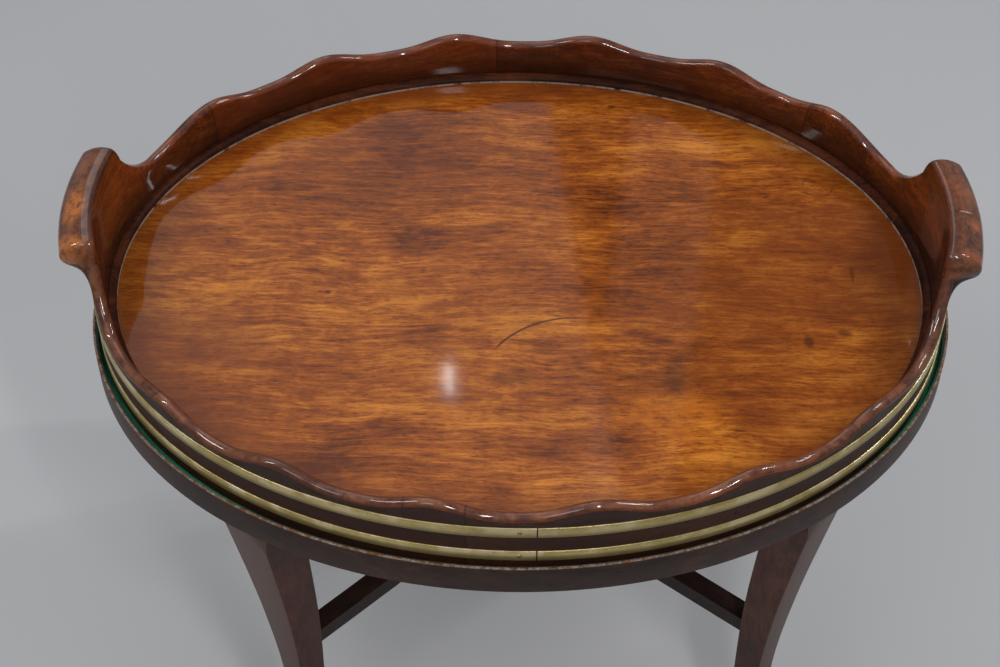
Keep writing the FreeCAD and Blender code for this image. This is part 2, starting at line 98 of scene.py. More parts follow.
def lamp(name, place, across, along, power):
    """A flat soft lamp that faces the middle of the tray."""
    data = bpy.data.lights.new(name, "AREA")
    data.shape = "RECTANGLE"
    data.size, data.size_y = across, along
    data.energy = power
    made = bpy.data.objects.new(name, data)
    bpy.context.scene.collection.objects.link(made)
    away = Vector(place) - tray_middle
    facing = away.to_track_quat("Z", "Y").to_matrix().to_4x4()
    made.matrix_world = Matrix.Translation(place) @ facing


lamp("overhead_lamp", (-0.4, 0.0, 2.7), 2.4, 1.8, 7)
lamp("right_strip_lamp", (1.14, 0.58, 1.89), 0.02, 0.6, 7)
lamp("right_side_lamp", (1.25, 0.2, 1.85), 0.02, 0.6, 6)
lamp("left_side_lamp", (-1.18, -0.37, 1.83), 0.08, 0.8, 9)
lamp("left_front_lamp", (-0.55, -1.2, 1.75), 0.5, 0.4, 3)
lamp("camera_side_lamp", (0.24, -1.04, 1.61), 0.08, 0.4, 7)
lamp("back_left_lamp", (-0.375, 1.6, 2.45), 1.15, 1.5, 7)
lamp("back_middle_lamp", (0.29, 1.6, 2.45), 0.18, 1.5, 0.6)
lamp("back_glint_lamp", (-0.094, 1.30, 2.11), 0.012, 0.05, 0.09)


# Tray floor
# One wide mahogany board, cut to an oval, with a tongue round its underside that sits
# in the gallery's groove. It is polished, and marked by long use.

class Tone:
    """One value in a finish. Sums on it add the shader nodes that work them out."""

    def __init__(self, tree, socket=None):
        self.tree = tree
        self.socket = socket

    def node(self, kind, sockets=(), output=0, stops=(), **settings):
        """Adds one node: its settings first, then what goes into its sockets."""
        made = self.tree.nodes.new(kind)
        for name, value in settings.items():
            setattr(made, name, value)
        if stops:
            ramp = made.color_ramp.elements
            while len(ramp) < len(stops):
                ramp.new(0.5)
            for stop, (place, shade) in zip(ramp, stops):
                stop.position, stop.color = place, shade
        for name, value in dict(sockets).items():
            if isinstance(value, Tone):
                self.tree.links.new(value.socket, made.inputs[name])
            else:
                made.inputs[name].default_value = value
        return Tone(self.tree, made.outputs[output])

    def sum_with(self, operation, first, second=0.0):
        return self.node("ShaderNodeMath", {0: first, 1: second}, operation=operation)

    def __add__(self, other):
        return self.sum_with("ADD", self, other)

    def __sub__(self, other):
        return self.sum_with("SUBTRACT", self, other)

    def __rsub__(self, other):
        return self.sum_with("SUBTRACT", other, self)

    def __mul__(self, other):
        return self.sum_with("MULTIPLY", self, other)

    def __abs__(self):
        return self.sum_with("ABSOLUTE", self)

    def either(self, other):
        return self.sum_with("MAXIMUM", self, other)

    def fade(self, start, stop):
        """0 at start and 1 at stop, and smooth between them."""
        return self.node("ShaderNodeMapRange", {"Value": self, "From Min": start, "From Max": stop},
                         interpolation_type="SMOOTHSTEP")

    def mix(self, first, second):
        """The first colour where this is 0, the second where it is 1."""
        return self.node("ShaderNodeMix", {0: self, 6: first, 7: second}, output=2, data_type="RGBA")

    def noise(self, scale=1.0, detail=4.0, roughness=0.55, distortion=0.0, output=0):
        return self.node("ShaderNodeTexNoise", {
            "Vector": self, "Scale": scale, "Detail": detail,
            "Roughness": roughness, "Distortion": distortion}, output)

    def swirled(self, scale, reach):
        """These coordinates, pushed about by up to half of each reach in slow waves."""
        waves = self.noise(scale, 2, 0.5, output=1)
        push = self.node("ShaderNodeVectorMath", {0: waves, 1: reach, 2: self}, operation="MULTIPLY_ADD")
        return push.placed([part / 2 for part in reach])

    def placed(self, centre=(0, 0, 0), turn=0.0, stretch=(1, 1, 1)):
        """These coordinates about a new middle, turned about Z, then stretched."""
        moved = self.node("ShaderNodeMapping", {"Vector": self, "Location": [-c for c in centre]})
        turned = self.node("ShaderNodeMapping", {"Vector": moved, "Rotation": (0, 0, turn)})
        return self.node("ShaderNodeMapping", {"Vector": turned, "Scale": stretch})

    def along(self, axis):
        return self.node("ShaderNodeSeparateXYZ", {0: self}, output="XYZ".index(axis))

    def length(self):
        return self.node("ShaderNodeVectorMath", {0: self}, output=1, operation="LENGTH")

    def spot(self, centre, size):
        """1 in an oval spot of these half sizes, and 0 outside it."""
        stretch = [1 / half for half in size]
        return self.placed(centre, 0.0, stretch).length().fade(1.0, 0.35)


def colour(red, green, blue):
    """A colour read off the photograph as 0 to 255, as the light that it stands for."""
    return tuple(((part / 255 + 0.055) / 1.055) ** 2.4 if part > 10 else part / 3295
                 for part in (red, green, blue)) + (1.0,)


def new_finish(name, **fixed):
    """A finish with its constants set: the material, its shader and its object coordinates."""
    material = bpy.data.materials.new(name)
    material.use_nodes = True
    shader = material.node_tree.nodes["Principled BSDF"]
    for socket, value in fixed.items():
        shader.inputs[socket.replace("_", " ").title().replace("Ior", "IOR")].default_value = value
    return material, shader, Tone(material.node_tree).node("ShaderNodeTexCoord", output="Object")


def feed(shader, **links):
    for socket, value in links.items():
        value.tree.links.new(value.socket, shader.inputs[socket.replace("_", " ").title()])


def relief(height, strength, distance):
    return height.node("ShaderNodeBump", {"Height": height, "Strength": strength, "Distance": distance})


def paint_node(name, material):
    """Gives a CAD node this finish in every one of its slots."""
    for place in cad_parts[name].material_slots:
        place.material = material


def mahogany(place, darker, middle, paler, pore):
    """The colour, figure and pores of mahogany whose grain runs along X."""
    bent = place.swirled(9.0, (0.0, 0.02, 0.02))
    drift = place.placed(stretch=(6.0, 13.0, 13.0)).noise(1.0, 4, 0.55, 0.6)
    figure = bent.placed(stretch=(11.0, 58.0, 58.0)).noise(1.0, 5, 0.65, 1.0)
    streak = bent.placed(stretch=(28.0, 420.0, 420.0)).noise(1.0, 6, 0.72, 0.3)
    mottle = place.placed(stretch=(60.0, 100.0, 100.0)).noise(1.0, 4, 0.6, 0.8)
    fleck = place.placed(stretch=(160.0, 1500.0, 1500.0)).noise(1.0, 3, 0.7)
    depth = drift * 0.34 + figure * 0.26 + streak * 0.26 + mottle * 0.14
    base = depth.node("ShaderNodeValToRGB", {"Fac": depth},
                      stops=((0.41, darker), (0.5, middle), (0.59, paler)))
    pores = fleck.fade(0.5, 0.6) * streak.fade(0.68, 0.42)
    pore_shade = [part * 0.25 for part in darker[:3]] + [1.0]
    return (pores * pore).mix(base, pore_shade), depth, pores


tray_turn = math.radians(-1.5)
tray_shift = -0.0013
floor_long, floor_short, floor_top = 0.3, 0.227, 0.482
polish_ends = 0.476
scratch_middle, scratch_radius = (0.0431, -0.1073, floor_top), 0.0721
glass_middle, glass_radius = (0.232, 0.108, floor_top), 0.0115

board_finish, shader, place = new_finish(
    "floor_board_polish", coat_weight=0.38, coat_roughness=0.06, specular_ior_level=0.0)
place = place.placed((tray_shift, 0, 0), -tray_turn)
base, depth, pores = mahogany(place, colour(84, 36, 8), colour(138, 70, 17), colour(184, 112, 36), 0.6)
edge_shade = place.placed(stretch=(1 / floor_long, 1 / floor_short, 0.0)).length()
base = (edge_shade.fade(0.82, 1.0) * 0.6).mix(base, colour(88, 38, 10))
clouds = place.placed((0, 0, 0.1), 0.0, (4.0, 7.0, 7.0)).noise(1.0, 3, 0.5)
base = (clouds.fade(0.46, 0.64) * 0.55).mix(base, colour(100, 48, 20))
glow = place.spot((0.108, -0.125, floor_top), (0.055, 0.03, 1))
glow = glow * place.noise(60.0, 4, 0.7).fade(0.35, 0.6)
base = (glow * 0.35).mix(base, colour(196, 112, 28))
scratch = abs(place.placed(scratch_middle).length() - scratch_radius).fade(0.0013, 0.0003)
stains = scratch * place.along("Y").fade(-0.07, -0.062) * place.along("X").fade(0.056, 0.03)
glass_ring = abs(place.placed(glass_middle).length() - glass_radius).fade(0.001, 0.0003)
glass_ring = glass_ring * place.placed(glass_middle).noise(60.0, 2).fade(0.42, 0.6)
for (mark_x, mark_y), (half_x, half_y), strength in (
        ((-0.1421, -0.013), (0.004, 0.003), 0.8),
        ((0.0723, 0.1975), (0.005, 0.0035), 0.8),
        ((0.2117, -0.0556), (0.005, 0.009), 0.7),
        ((0.2388, -0.0462), (0.008, 0.004), 0.6),
        ((0.2497, 0.0125), (0.002, 0.012), 0.5),
        ((-0.0047, -0.0946), (0.022, 0.009), 0.45),
        ((0.0195, -0.0624), (0.016, 0.013), 0.35),
        ((0.1129, -0.0893), (0.012, 0.03), 0.4)):
    mark = place.spot((mark_x, mark_y, floor_top), (half_x, half_y, 1))
    stains = stains.either(mark * strength)
stains = stains.either(glass_ring * 0.55)
base = (stains * 0.85).mix(base, colour(40, 18, 8))
scars = place.placed(stretch=(30.0, 160.0, 1.0)).noise(1.0, 2, 0.4, 1.0).fade(0.74, 0.8)
base = (scars * 0.7).mix(base, colour(58, 28, 12))
underside = place.along("Z").fade(polish_ends + 0.0005, polish_ends - 0.0005)
base = underside.mix(base, colour(74, 44, 26))
feed(shader, base_color=base, roughness=depth * 0.25 + pores * 0.12 + underside * 0.3 + 0.2,
     normal=relief(1 - pores * 0.5 + place.noise(30.0, 2) * 0.7, 0.08, 0.0006))
paint_node("tray_floor", board_finish)


# Gallery
# Six mahogany staves, glued end to end round the floor. Their edge is sawn to waves and
# rounded over, and each end stave rises to a rolled grip, carved from the solid.

tray_long, tray_short = 0.3053, 0.2321
wall = 0.0087
tray_foot = 0.454
trough, wave = 0.0595, 0.0095
flare_foot, flare = 0.047, 0.003
grip_turn, grip_end_turn, dip_turn, crest_turn = 11.3, 2.2, 24.0, 39.0
wave_turn = 20.4
grip_top, grip_out, grip_drop = 0.1139, 0.0259, 0.035
shoulder_hollow, crest_sharpness, grip_end_curve = 1.8, 1.5, 1.3
wall_shares = (0.5, 0.57, 0.64, 0.71, 0.78, 0.85, 0.92, 1.0)
outer_foot = [(0.0, 0.0), (wall * 0.5, 0.0), (wall, 0.0), (wall, flare_foot / 2), (wall, flare_foot)]
inner_foot = [(0.0, 0.034), (0.0, 0.026), (0.0, 0.013)]
edge_first_row, edge_rows = 12, 20
joint_steps = (0.0, 0.06, 0.16)
grip_end_lead, grip_end_step, grip_end_sections = 0.6, 0.11, 32


def ease(share):
    share = min(1.0, max(0.0, share))
    return share * share * (3 - 2 * share)


def from_end(turn):
    return min(turn % 180, 180 - turn % 180)


def edge_height(turn):
    """The wavy edge: crests along the sides, a dip, and a hollow shoulder up to each grip."""
    away = from_end(turn)
    if away < dip_turn:
        climb = min(1.0, (dip_turn - away) / (dip_turn - grip_turn))
        return trough + (grip_top - trough) * climb ** shoulder_hollow
    if away < crest_turn:
        phase = 180 * (away - dip_turn) / (crest_turn - dip_turn)
    else:
        phase = 360 * (90 - away) / wave_turn
    return trough + wave * ((1 - math.cos(math.radians(phase))) / 2) ** crest_sharpness


def edge_lean(turn):
    return flare * ease((from_end(turn) - grip_turn) / (crest_turn - grip_turn))


def arc_through(first, middle, last, count):
    """Places on the round curve through three, after the first."""
    (ax, ay), (bx, by), (cx, cy) = first, middle, last
    d = 2 * (ax * (by - cy) + bx * (cy - ay) + cx * (ay - by))
    ux = ((ax * ax + ay * ay) * (by - cy) + (bx * bx + by * by) * (cy - ay)
          + (cx * cx + cy * cy) * (ay - by)) / d
    uy = ((ax * ax + ay * ay) * (cx - bx) + (bx * bx + by * by) * (ax - cx)
          + (cx * cx + cy * cy) * (bx - ax)) / d
    radius = math.hypot(ax - ux, ay - uy)
    start, mid, stop = [math.atan2(y - uy, x - ux) for x, y in (first, middle, last)]
    ahead = (stop - start) % (2 * math.pi)
    if (mid - start) % (2 * math.pi) > ahead:
        ahead -= 2 * math.pi
    return [(ux + radius * math.cos(start + ahead * k / count),
             uy + radius * math.sin(start + ahead * k / count)) for k in range(1, count + 1)]


def wall_section(turn):
    """The plain wall's section, as (out from the inner face, height) places."""
    half = wall / 2
    soft = half * (1 - math.sqrt(0.5))
    lean, top = edge_lean(turn), edge_height(turn)
    foot = top - half
    section = outer_foot + [
        (wall + lean * share, flare_foot + (foot - flare_foot) * share) for share in wall_shares]
    section += arc_through(section[-1], (wall - soft + lean, top - soft), (half + lean, top), 15)
    section += arc_through(section[-1], (soft + lean, top - soft), (lean, foot), 5)
    section += [(lean * (1 - k / 4), foot + (flare_foot - foot) * k / 4) for k in range(1, 5)]
    return section + inner_foot


def grip_section():
    """The rolled grip's section, with as many places as the wall's."""
    half = wall / 2
    soft = half * (1 - math.sqrt(0.5))
    spot = lambda across, down: (grip_out * across, grip_top - grip_drop * down)
    foot, nose_foot, nose_top = (wall, grip_top - grip_drop), spot(0.82, 0.64), spot(0.8, 0.14)
    section = outer_foot + [foot]
    section += arc_through(foot, spot(0.58, 0.78), nose_foot, 7)
    section += arc_through(nose_foot, spot(1.0, 0.38), nose_top, 10)
    section += arc_through(nose_top, spot(0.55, 0.035), (half, grip_top), 5)
    section += arc_through((half, grip_top), (soft, grip_top - soft), (0.0, grip_top - half), 5)
    section += [(0.0, grip_top - half + (flare_foot - grip_top + half) * k / 4) for k in range(1, 5)]
    return section + inner_foot


def stave_section(turn):
    """The grip on the grip, the wall away from it, and a blend at the grip's ends."""
    past = (from_end(turn) - grip_turn) / grip_end_turn
    share = 1 - min(1.0, max(0.0, past)) ** grip_end_curve
    return [(a + (c - a) * share, b + (d - b) * share)
            for (a, b), (c, d) in zip(wall_section(turn), grip_section())]


def over_edge(row):
    """0 down the outside, 1 down the inside, and between them on the rounded edge."""
    return min(1.0, max(0.0, (row - edge_first_row) / edge_rows))


def seated(spot):
    """A place on the tray, moved to where the tray stands in its ring."""
    return Matrix.Rotation(tray_turn, 4, "Z") @ Vector(spot) + Vector((tray_shift, 0, tray_foot))


def stave_turns(start, stop):
    """Where the sections stand: close together at the joints and where a grip ends."""
    turns = {start + step for step in joint_steps} | {stop - step for step in joint_steps}
    count = round((stop - start) * 2)
    turns.update(start + (stop - start) * k / count for k in range(1, count))
    middle = 0 if start < 0 else 180
    if start < middle < stop:
        for side in (-1, 1):
            turns.update(middle + side * (grip_turn - grip_end_lead + k * grip_end_step)
                         for k in range(grip_end_sections))
    return sorted(turns)


def close_end(piece, at_end):
    """Fills the open end whose edge lies where at_end says, then turns all faces outwards."""
    bpy.ops.object.mode_set(mode="EDIT")
    bpy.ops.mesh.select_mode(type="VERT")
    bpy.ops.mesh.select_all(action="DESELECT")
    bpy.ops.mesh.select_non_manifold()
    bpy.ops.object.mode_set(mode="OBJECT")
    for spot in piece.data.vertices:
        spot.select = spot.select and at_end(spot.co)
    for edge in piece.data.edges:
        edge.select = all(piece.data.vertices[end].select for end in edge.vertices)
    for face in piece.data.polygons:
        face.select = False
    bpy.ops.object.mode_set(mode="EDIT")
    bpy.ops.mesh.fill()
    bpy.ops.mesh.select_all(action="SELECT")
    bpy.ops.mesh.normals_make_consistent(inside=False)
    bpy.ops.object.mode_set(mode="OBJECT")


def turn_on_wall(spot):
    """Degrees round the oval of a place in the seated gallery."""
    flat = Matrix.Rotation(-tray_turn, 3, "Z") @ (Vector(spot) - Vector((tray_shift, 0, 0)))
    return math.degrees(math.atan2(flat.y / tray_short, flat.x / tray_long))


def note(piece, name, values):
    """Writes one number for each vertex on the mesh, for its finish to read."""
    piece.data.attributes.new(name, "FLOAT", "POINT").data.foreach_set("value", values)


def shape_stave(name, start, stop):
    """A flat grid with a column for each section, folded round into the stave."""
    turns = stave_turns(start, stop)
    sections = [stave_section(turn) for turn in turns]
    rows, across = len(sections[0]), len(turns)
    bpy.ops.object.select_all(action="DESELECT")
    bpy.ops.mesh.primitive_grid_add(x_subdivisions=across - 1, y_subdivisions=rows, size=2)
    stave = bpy.context.object
    stave.name = name + "_carved"
    edges, joints = [], []
    for spot in stave.data.vertices:
        row, column = divmod(spot.index, across)
        out, height = sections[column][row % rows]
        turn = math.radians(turns[column])
        place_x, place_y = (tray_long + out) * math.cos(turn), (tray_short + out) * math.sin(turn)
        spot.co = seated((place_x, place_y, height))
        edges.append(over_edge(row % rows))
        joints.append(1.0 if min(column, across - 1 - column) < 2 else 0.0)
    note(stave, "over_edge", edges)
    note(stave, "near_joint", joints)
    bpy.ops.object.mode_set(mode="EDIT")
    bpy.ops.mesh.select_all(action="SELECT")
    bpy.ops.mesh.remove_doubles(threshold=1e-6)
    bpy.ops.object.mode_set(mode="OBJECT")
    reach = 5
    near_start = lambda spot: (turn_on_wall(spot) - start + reach) % 360 < 2 * reach
    close_end(stave, near_start)
    close_end(stave, lambda spot: not near_start(spot))
    bpy.ops.object.shade_smooth_by_angle(angle=math.radians(35))
    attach(stave, "tray")
    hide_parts(name)
    return stave


def chord_turn(start, stop):
    """Which way the straight block runs that a stave is sawn from."""
    a, b = [(tray_long * math.cos(math.radians(turn)), tray_short * math.sin(math.radians(turn)))
            for turn in (start, stop)]
    return math.atan2(b[1] - a[1], b[0] - a[0])


def stave_finish(name, start, stop, painted_light_share, marks):
    """Dark polished mahogany, paler on its rounded edge from wear and a painted highlight, with the
    stave's own marks.
    """
    material, shader, place = new_finish(name + "_polish", coat_roughness=0.07, specular_ior_level=0.1)
    place = place.placed((tray_shift, 0, 0), -tray_turn)
    grain = place.placed((start * 0.01, 0, 0), -chord_turn(start, stop))
    base, depth, pores = mahogany(grain, colour(40, 14, 4), colour(80, 32, 9), colour(126, 58, 20), 0.7)
    # Painted light: each stave is mixed towards a paler orange by its own share, lighter where the wall
    # caught more light.
    base = base.node("ShaderNodeMix", {0: painted_light_share, 6: base, 7: colour(150, 66, 24)}, output=2,
                     data_type="RGBA")
    over = place.node("ShaderNodeAttribute", output=2, attribute_name="over_edge")
    joint = place.node("ShaderNodeAttribute", output=2, attribute_name="near_joint")
    outside = over.fade(0.12, 0.0)
    base = (outside * 0.85).mix(base, (depth * 1.4 - 0.2).mix(colour(26, 14, 9), colour(50, 32, 24)))
    foot_shade = place.along("Z").fade(0.53, 0.488) * over.fade(0.9, 1.0)
    base = (foot_shade * 0.75).mix(base, colour(24, 12, 8))
    # The rounded edge is painted paler, partly as wear and partly as a painted highlight from above.
    crown = 1 - abs(over * 2 - 1)
    paler_share = (place.noise(48.0, 5, 0.7, 0.4) * 0.75 + place.noise(240.0, 4, 0.7) * 0.25).fade(0.4, 0.6)
    worn_and_highlit_crown = paler_share.mix(colour(60, 30, 17), colour(116, 70, 44))
    base = (crown.fade(0.15, 0.75) * 0.8).mix(base, worn_and_highlit_crown)
    grime = place.noise(300.0, 4, 0.7).fade(0.58, 0.72)
    base = (grime * 0.5).mix(base, colour(24, 13, 9))
    for shade, centre, size, strength in marks:
        ragged = place.placed(centre).noise(150.0, 5, 0.7, 0.6).fade(0.34, 0.56)
        base = (place.spot(centre, size) * ragged * strength).mix(base, colour(*shade))
    base = (joint * 0.6).mix(base, colour(20, 10, 7))
    dent = place.noise(70.0, 3, 0.55) * 0.9 + place.noise(9.0, 2) * 2.0
    feed(shader, base_color=base, roughness=depth * 0.2 + outside * 0.12 + grime * 0.2 + 0.3,
         coat_weight=0.85 - outside * 0.75 - grime * 0.3,
         normal=relief(dent - pores * 0.3 - joint * 0.8, 0.14, 0.0012))
    return material


amber, dark_wood, scratch_shade = (162, 94, 38), (30, 15, 9), (176, 150, 128)
stave_marks = {
    "handle_stave_left": [
        (amber, (-0.319, -0.012, 0.566), (0.011, 0.026, 0.02), 0.9),
        (amber, (-0.318, -0.047, 0.552), (0.024, 0.013, 0.03), 0.95),
        ((150, 78, 34), (-0.306, 0.060, 0.53), (0.01, 0.05, 0.03), 0.5)],
    "handle_stave_right": [
        ((150, 76, 34), (0.324, -0.017, 0.566), (0.005, 0.006, 0.02), 0.85),
        ((140, 66, 26), (0.316, -0.046, 0.556), (0.014, 0.006, 0.02), 0.7),
        ((134, 70, 38), (0.320, 0.02, 0.566), (0.012, 0.03, 0.01), 0.4),
        (scratch_shade, (0.318, -0.005, 0.567), (0.006, 0.0012, 0.01), 0.9),
        ((120, 60, 30), (0.304, 0.05, 0.53), (0.01, 0.05, 0.03), 0.4)],
    "stave_back_right": [(dark_wood, (0.025, 0.233, 0.495), (0.0008, 0.006, 0.05), 0.8)],
    "stave_back_left": [],
    "stave_front_left": [(dark_wood, (-0.0741, -0.2302, 0.515), (0.0012, 0.02, 0.02), 0.8)],
    "stave_front_right": [
        (dark_wood, (0.0478, -0.2302, 0.515), (0.003, 0.01, 0.02), 0.8),
        (scratch_shade, (0.2888, -0.0878, 0.52), (0.02, 0.0012, 0.02), 0.5)]}
# The last number is each stave's share of painted light, mixed in as a paler orange.
for name, start, stop, painted_light_share in (
        ("handle_stave_right", -43, 43, 0.0),
        ("stave_back_right", 43, 94, 0.06),
        ("stave_back_left", 94, 142, 0.22),
        ("handle_stave_left", 142, 218, 0.0),
        ("stave_front_left", 218, 264, 0.05),
        ("stave_front_right", 264, 317, 0.1)):
    stave = shape_stave(name, start, stop)
    stave.data.materials.append(stave_finish(name, start, stop, painted_light_share, stave_marks[name]))


# Floor bead
# A thin quarter-round strip in two lengths, glued in the corner between floor and wall.
# A pale line is painted along its foot as a highlight.

round_steps = 720


def pull_round(name, section):
    """A circle drawn out to the oval and pulled through the section's (out, height) places."""
    bpy.ops.object.select_all(action="DESELECT")
    bpy.ops.mesh.primitive_circle_add(vertices=round_steps, radius=1)
    piece = bpy.context.object
    piece.name = name
    bpy.ops.object.mode_set(mode="EDIT")
    bpy.ops.mesh.select_all(action="SELECT")
    out, height = section[0]
    bpy.ops.transform.resize(value=(tray_long + out, tray_short + out, 1), center_override=(0, 0, 0))
    bpy.ops.transform.translate(value=(0, 0, height))
    for next_out, next_height in section[1:] + section[:1]:
        longer = (tray_long + next_out) / (tray_long + out)
        wider = (tray_short + next_out) / (tray_short + out)
        bpy.ops.mesh.extrude_edges_move(TRANSFORM_OT_translate={"value": (0, 0, next_height - height)})
        bpy.ops.transform.resize(value=(longer, wider, 1), center_override=(0, 0, 0))
        out, height = next_out, next_height
    bpy.ops.mesh.select_all(action="SELECT")
    bpy.ops.mesh.remove_doubles(threshold=1e-6)
    bpy.ops.mesh.normals_make_consistent(inside=False)
    bpy.ops.object.mode_set(mode="OBJECT")
    return piece


def turn_of(spot):
    """Degrees round the oval of a place on a piece that isn't seated yet."""
    return math.degrees(math.atan2(spot.y / tray_short, spot.x / tray_long)) % 360


def deselect_mesh():
    bpy.ops.object.mode_set(mode="EDIT")
    bpy.ops.mesh.select_all(action="DESELECT")
    bpy.ops.object.mode_set(mode="OBJECT")


def keep_run(piece, start, stop):
    """Cuts a ring down to the run between two places round the oval, and closes its ends."""
    deselect_mesh()
    for face in piece.data.polygons:
        face.select = not 0 < (turn_of(face.center) - start) % 360 < (stop - start)
    bpy.ops.object.mode_set(mode="EDIT")
    bpy.ops.mesh.select_mode(type="FACE")
    bpy.ops.mesh.delete(type="FACE")
    bpy.ops.object.mode_set(mode="OBJECT")
    reach = 0.2
    near_start = lambda spot: (turn_of(spot) - start + reach) % 360 < 2 * reach
    close_end(piece, near_start)
    close_end(piece, lambda spot: not near_start(spot))


def seat(piece):
    """Puts a tray piece where the tray stands in its ring."""
    moved = Matrix.Translation((tray_shift, 0, tray_foot))
    piece.data.transform(moved @ Matrix.Rotation(tray_turn, 4, "Z"))


bead_low, bead, bead_room, bead_joint = 0.0275, 0.006, 0.0002, 16
bead_arc = [math.pi / 2 * k / 8 for k in range(9)]
bead_section = [(-bead_room, bead_low)]
bead_section += [(-bead_room - bead * math.cos(a), bead_low + bead * math.sin(a)) for a in bead_arc]

bead_finish, shader, place = new_finish("bead_polish", specular_ior_level=0.05)
place = place.placed((tray_shift, 0, 0), -tray_turn)
base, depth = mahogany(place, colour(26, 10, 4), colour(48, 20, 9), colour(74, 34, 15), 0.4)[:2]
# Painted highlight: a pale line along the bead's foot, just above the floor.
painted_foot_highlight = place.along("Z").fade(floor_top + 0.0017, floor_top + 0.0008)
painted_foot_highlight = painted_foot_highlight * place.noise(90.0, 4, 0.7).fade(0.3, 0.55)
base = (painted_foot_highlight * 0.8).mix(base, colour(150, 136, 124))
feed(shader, base_color=base, roughness=depth * 0.2 + painted_foot_highlight * 0.2 + 0.3,
     normal=relief(place.noise(160.0, 3), 0.2, 0.0008))
for name, start, stop in (
        ("floor_bead_back", -bead_joint, 180 + bead_joint),
        ("floor_bead_front", 180 + bead_joint, 360 - bead_joint)):
    strip = pull_round(name + "_strip", bead_section)
    keep_run(strip, start, stop)
    seat(strip)
    bpy.ops.object.shade_smooth_by_angle(angle=math.radians(40))
    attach(strip, "tray")
    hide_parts(name)
    strip.data.materials.append(bead_finish)


# Brass bands
# Two strips of sheet brass bent round the gallery, butted at the front, and held there
# by a brass pin each. The faces have gone dull, and the upper edges are painted bright, partly as rubbed
# wear and partly as a painted highlight.

brass_finish, shader, place = new_finish("dull_brass", metallic=0.5, specular_ior_level=0.3)
tarnish = place.noise(24.0, 6, 0.65, 0.5)
fleck = place.noise(300.0, 4, 0.65)
streak = place.placed(stretch=(30.0, 30.0, 1500.0)).noise(1.0, 3, 0.6)
base = (tarnish * 0.6 + streak * 0.4).fade(0.34, 0.62).mix(colour(148, 128, 76), colour(184, 166, 112))
base = (fleck.fade(0.6, 0.74) * 0.55).mix(base, colour(84, 72, 44))
# The rounded upper edges are painted pale: partly rubbed wear, partly a painted highlight.
paler_share = place.node("ShaderNodeAttribute", output=2, attribute_name="paler_share")
base = (paler_share * place.noise(40.0, 4).fade(0.45, 0.6) * 0.8).mix(base, colour(210, 194, 154))
feed(shader, base_color=base, roughness=tarnish.fade(0.3, 0.7) * -0.12 + 0.44 - paler_share * 0.1,
     normal=relief(fleck * 0.4 + place.noise(60.0, 3) * 0.9, 0.3, 0.0006))

band, band_tall, band_room, soft = 0.0008, 0.0101, 0.00002, 0.0003
band_lows = {"lower_band": 0.0105, "upper_band": 0.0362}
seam_turn, half_seam = 272.7, math.degrees(0.00015 / tray_short)
cut_before, cut_after = 272.5, 273.0
for name, low in band_lows.items():
    inner, outer, high = wall + band_room, wall + band, low + band_tall
    strip = pull_round(name + "_strip", [
        (inner, low), (outer - soft, low), (outer, low + soft),
        (outer, high - soft), (outer - soft, high), (inner, high)])
    keep_run(strip, cut_after, cut_before + 360)
    for spot in strip.data.vertices:
        turn = turn_of(spot.co)
        for cut, end in ((cut_before, seam_turn - half_seam), (cut_after, seam_turn + half_seam)):
            if abs(turn - cut) < 0.1:
                spot.co = Matrix.Rotation(math.radians(end - cut), 3, "Z") @ spot.co
    # Marks the rounded upper edge, which carries the painted highlight and the wear.
    bright_edge_from = high - soft * 1.1
    note(strip, "paler_share", [float(spot.co.z > bright_edge_from) for spot in strip.data.vertices])
    seat(strip)
    bpy.ops.object.shade_smooth_by_angle(angle=math.radians(50))
    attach(strip, "tray")
    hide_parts(name)
    strip.data.materials.append(brass_finish)


# Band pins
# Two brass pins with low domed heads, driven through the bands beside their seams.

pin_turn, pin_head, pin_tall, pin_shank, pin_long = 270.6, 0.0017, 0.0007, 0.0007, 0.0045
pin_sides = 28
# Each step: how far, as a share of the head's height or in metres, and how much narrower.
dome_steps = ((0.25, 0.98), (0.3, 0.88), (0.25, 0.7), (0.15, 0.4), (0.05, 0.05))
shank_steps = ((0.0, pin_shank / pin_head), (pin_long * 0.7, 1.0), (pin_long * 0.3, 0.1))

pin_finish, shader, place = new_finish("pin_brass", metallic=1.0, roughness=0.36)
fleck = place.noise(700.0, 4, 0.65)
base = fleck.fade(0.35, 0.65).mix(colour(96, 82, 46), colour(190, 172, 120))
feed(shader, base_color=base, normal=relief(fleck, 0.3, 0.0003))


